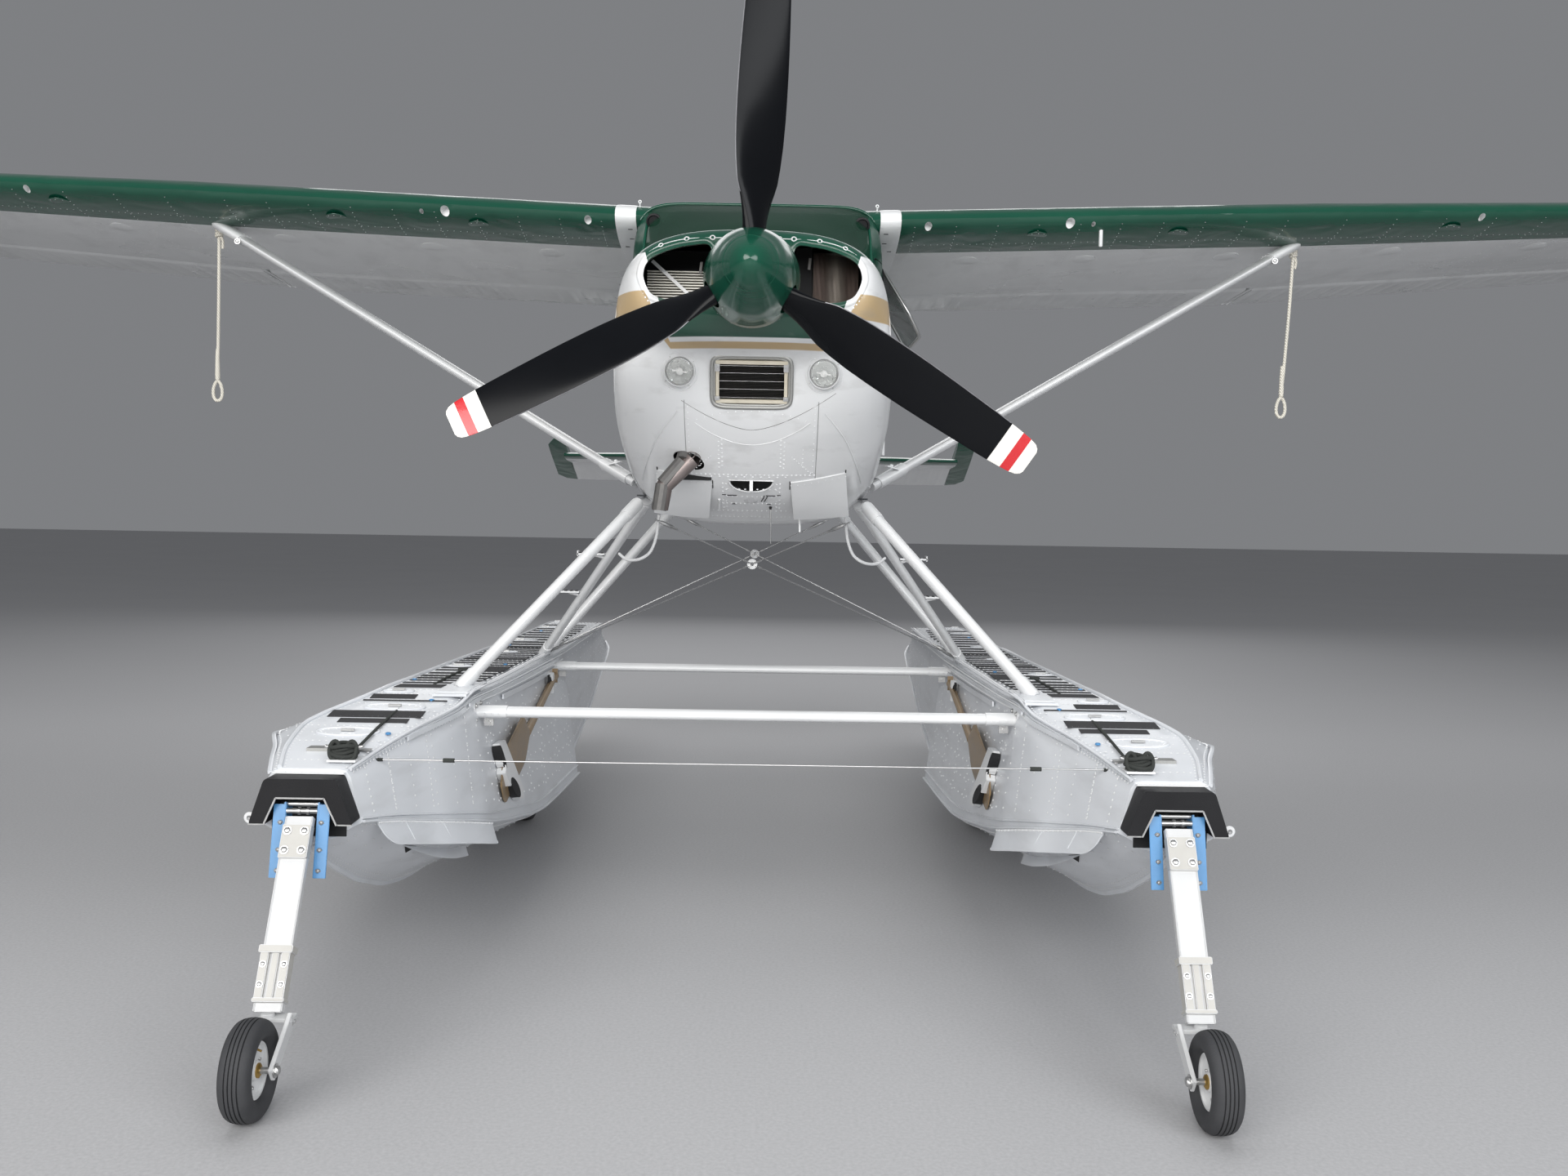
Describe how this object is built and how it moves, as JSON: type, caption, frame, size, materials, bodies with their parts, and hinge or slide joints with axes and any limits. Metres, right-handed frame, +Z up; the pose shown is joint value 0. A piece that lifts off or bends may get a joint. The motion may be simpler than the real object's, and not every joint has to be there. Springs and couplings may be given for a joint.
{
  "type": "floatplane",
  "caption": "High-wing single-engine aircraft on two amphibious floats, standing on its wheels, with opening doors, moving control surfaces and a turning propeller.",
  "frame": {"origin": "centre of the bounding box's base, on the floor under the aircraft", "axes": "+Z up, -Y towards the nose, +X to the aircraft's left"},
  "size_m": [10.92, 8.4576, 3.52],
  "materials": {
    "white_paint": "semi-gloss white paint",
    "green_paint": "gloss dark green paint",
    "engine_metal": "cast metal",
    "cooler_metal": "dull aluminium",
    "black_paint": "satin black paint",
    "panel_black": "matte black",
    "window": "clear, faintly green",
    "seat_leather": "worn grey leather",
    "bumper_rubber": "moulded rubber",
    "tyre": "ribbed tyre rubber",
    "gear_steel": "painted steel",
    "rope": "braided rope",
    "wire_steel": "bright wire"
  },
  "bodies": {
    "airframe": {"cabin_shell": "white_paint", "tail_cone": "white_paint", "fin": "green_paint", "stabilizer": "white_paint", "cowl_nose": "white_paint", "cowl_upper": "green_paint", "cowl_lower": "white_paint", "engine": "engine_metal", "oil_cooler": "cooler_metal", "windscreen": "window", "instrument_panel": "panel_black", "rear_seat": "seat_leather", "spreader_bar_front": "white_paint", "spreader_bar_rear": "white_paint", "brace_wires_front": "wire_steel", "brace_wires_rear": "wire_steel", "rear_window_left": "window", "rear_window_right": "window", "wing_left": "white_paint", "wing_right": "white_paint", "wing_strut_left": "white_paint", "wing_strut_right": "white_paint", "front_seat_left": "seat_leather", "front_seat_right": "seat_leather", "float_hull_left": "white_paint", "float_hull_right": "white_paint", "bow_bumper_left": "bumper_rubber", "bow_bumper_right": "bumper_rubber", "nose_leg_left": "white_paint", "nose_leg_right": "white_paint", "main_leg_left": "gear_steel", "main_leg_right": "gear_steel", "float_strut_front_left": "white_paint", "float_strut_front_right": "white_paint", "float_strut_diagonal_left": "white_paint", "float_strut_diagonal_right": "white_paint", "float_strut_rear_left": "white_paint", "float_strut_rear_right": "white_paint", "tie_rope_left": "rope", "tie_rope_right": "rope"},
    "propeller": {"propeller": "black_paint", "spinner": "green_paint"},
    "elevator": {"elevator": "white_paint"},
    "rudder": {"rudder": "green_paint"},
    "door_left": {"door_left": "white_paint", "door_glass_left": "window"},
    "flap_left": {"flap_left": "white_paint"},
    "aileron_left": {"aileron_left": "white_paint"},
    "nose_fork_left": {"nose_fork_left": "white_paint"},
    "nose_wheel_left": {"nose_wheel_left": "tyre"},
    "main_wheels_left": {"main_wheels_left": "tyre"},
    "water_rudder_left": {"water_rudder_left": "white_paint"},
    "door_right": {"door_right": "white_paint", "door_glass_right": "window"},
    "flap_right": {"flap_right": "white_paint"},
    "aileron_right": {"aileron_right": "white_paint"},
    "nose_fork_right": {"nose_fork_right": "white_paint"},
    "nose_wheel_right": {"nose_wheel_right": "tyre"},
    "main_wheels_right": {"main_wheels_right": "tyre"},
    "water_rudder_right": {"water_rudder_right": "white_paint"}
  },
  "joints": [
    {"name": "propeller_spin", "type": "hinge", "parent": "airframe", "child": "propeller", "pos_m": [0, -3.25125, 2.427], "axis": [0, 1, 0], "continuous": true},
    {"name": "door_left_hinge", "type": "hinge", "parent": "airframe", "child": "door_left", "pos_m": [0.563, -1.68825, 2.25], "axis": [0, 0, -1], "range_deg": [0, 60]},
    {"name": "flap_left_hinge", "type": "hinge", "parent": "airframe", "child": "flap_left", "pos_m": [0.64, -0.33129, 2.85659], "axis": [-0.9993, 0.0021, -0.037], "range_deg": [0, 40]},
    {"name": "aileron_left_hinge", "type": "hinge", "parent": "airframe", "child": "aileron_left", "pos_m": [2.625, -0.33816, 2.93086], "axis": [-0.9945, 0.0877, -0.0575], "range_deg": [-20, 14]},
    {"name": "nose_caster_left", "type": "hinge", "parent": "airframe", "child": "nose_fork_left", "pos_m": [1.31, -3.95125, 0.235], "axis": [0, 0, 1], "continuous": true},
    {"name": "nose_wheel_left_spin", "type": "hinge", "parent": "nose_fork_left", "child": "nose_wheel_left", "pos_m": [1.31, -4.09125, 0.1375], "axis": [1, 0, 0], "continuous": true},
    {"name": "main_wheels_left_spin", "type": "hinge", "parent": "airframe", "child": "main_wheels_left", "pos_m": [1.31, -0.47625, 0.185], "axis": [1, 0, 0], "continuous": true},
    {"name": "water_rudder_left_steer", "type": "hinge", "parent": "airframe", "child": "water_rudder_left", "pos_m": [1.31, 2.04475, 0.75], "axis": [0, 0, 1], "range_deg": [-30, 30]},
    {"name": "door_right_hinge", "type": "hinge", "parent": "airframe", "child": "door_right", "pos_m": [-0.563, -1.68825, 2.25], "axis": [0, 0, 1], "range_deg": [0, 60]},
    {"name": "flap_right_hinge", "type": "hinge", "parent": "airframe", "child": "flap_right", "pos_m": [-0.64, -0.33129, 2.85659], "axis": [-0.9993, -0.0021, 0.037], "range_deg": [0, 40]},
    {"name": "aileron_right_hinge", "type": "hinge", "parent": "airframe", "child": "aileron_right", "pos_m": [-2.625, -0.33816, 2.93086], "axis": [-0.9945, -0.0877, 0.0575], "range_deg": [-20, 14]},
    {"name": "nose_caster_right", "type": "hinge", "parent": "airframe", "child": "nose_fork_right", "pos_m": [-1.31, -3.95125, 0.235], "axis": [0, 0, 1], "continuous": true},
    {"name": "nose_wheel_right_spin", "type": "hinge", "parent": "nose_fork_right", "child": "nose_wheel_right", "pos_m": [-1.31, -4.09125, 0.1375], "axis": [1, 0, 0], "continuous": true},
    {"name": "main_wheels_right_spin", "type": "hinge", "parent": "airframe", "child": "main_wheels_right", "pos_m": [-1.31, -0.47625, 0.185], "axis": [1, 0, 0], "continuous": true},
    {"name": "water_rudder_right_steer", "type": "hinge", "parent": "airframe", "child": "water_rudder_right", "pos_m": [-1.31, 2.04475, 0.75], "axis": [0, 0, 1], "range_deg": [-30, 30]},
    {"name": "elevator_hinge", "type": "hinge", "parent": "airframe", "child": "elevator", "pos_m": [0, 3.24875, 2.022], "axis": [-1, 0, 0], "range_deg": [-45, 3]},
    {"name": "rudder_hinge", "type": "hinge", "parent": "airframe", "child": "rudder", "pos_m": [0, 3.62875, 2.6], "axis": [0, 0, 1], "range_deg": [-24, 24]}
  ]
}
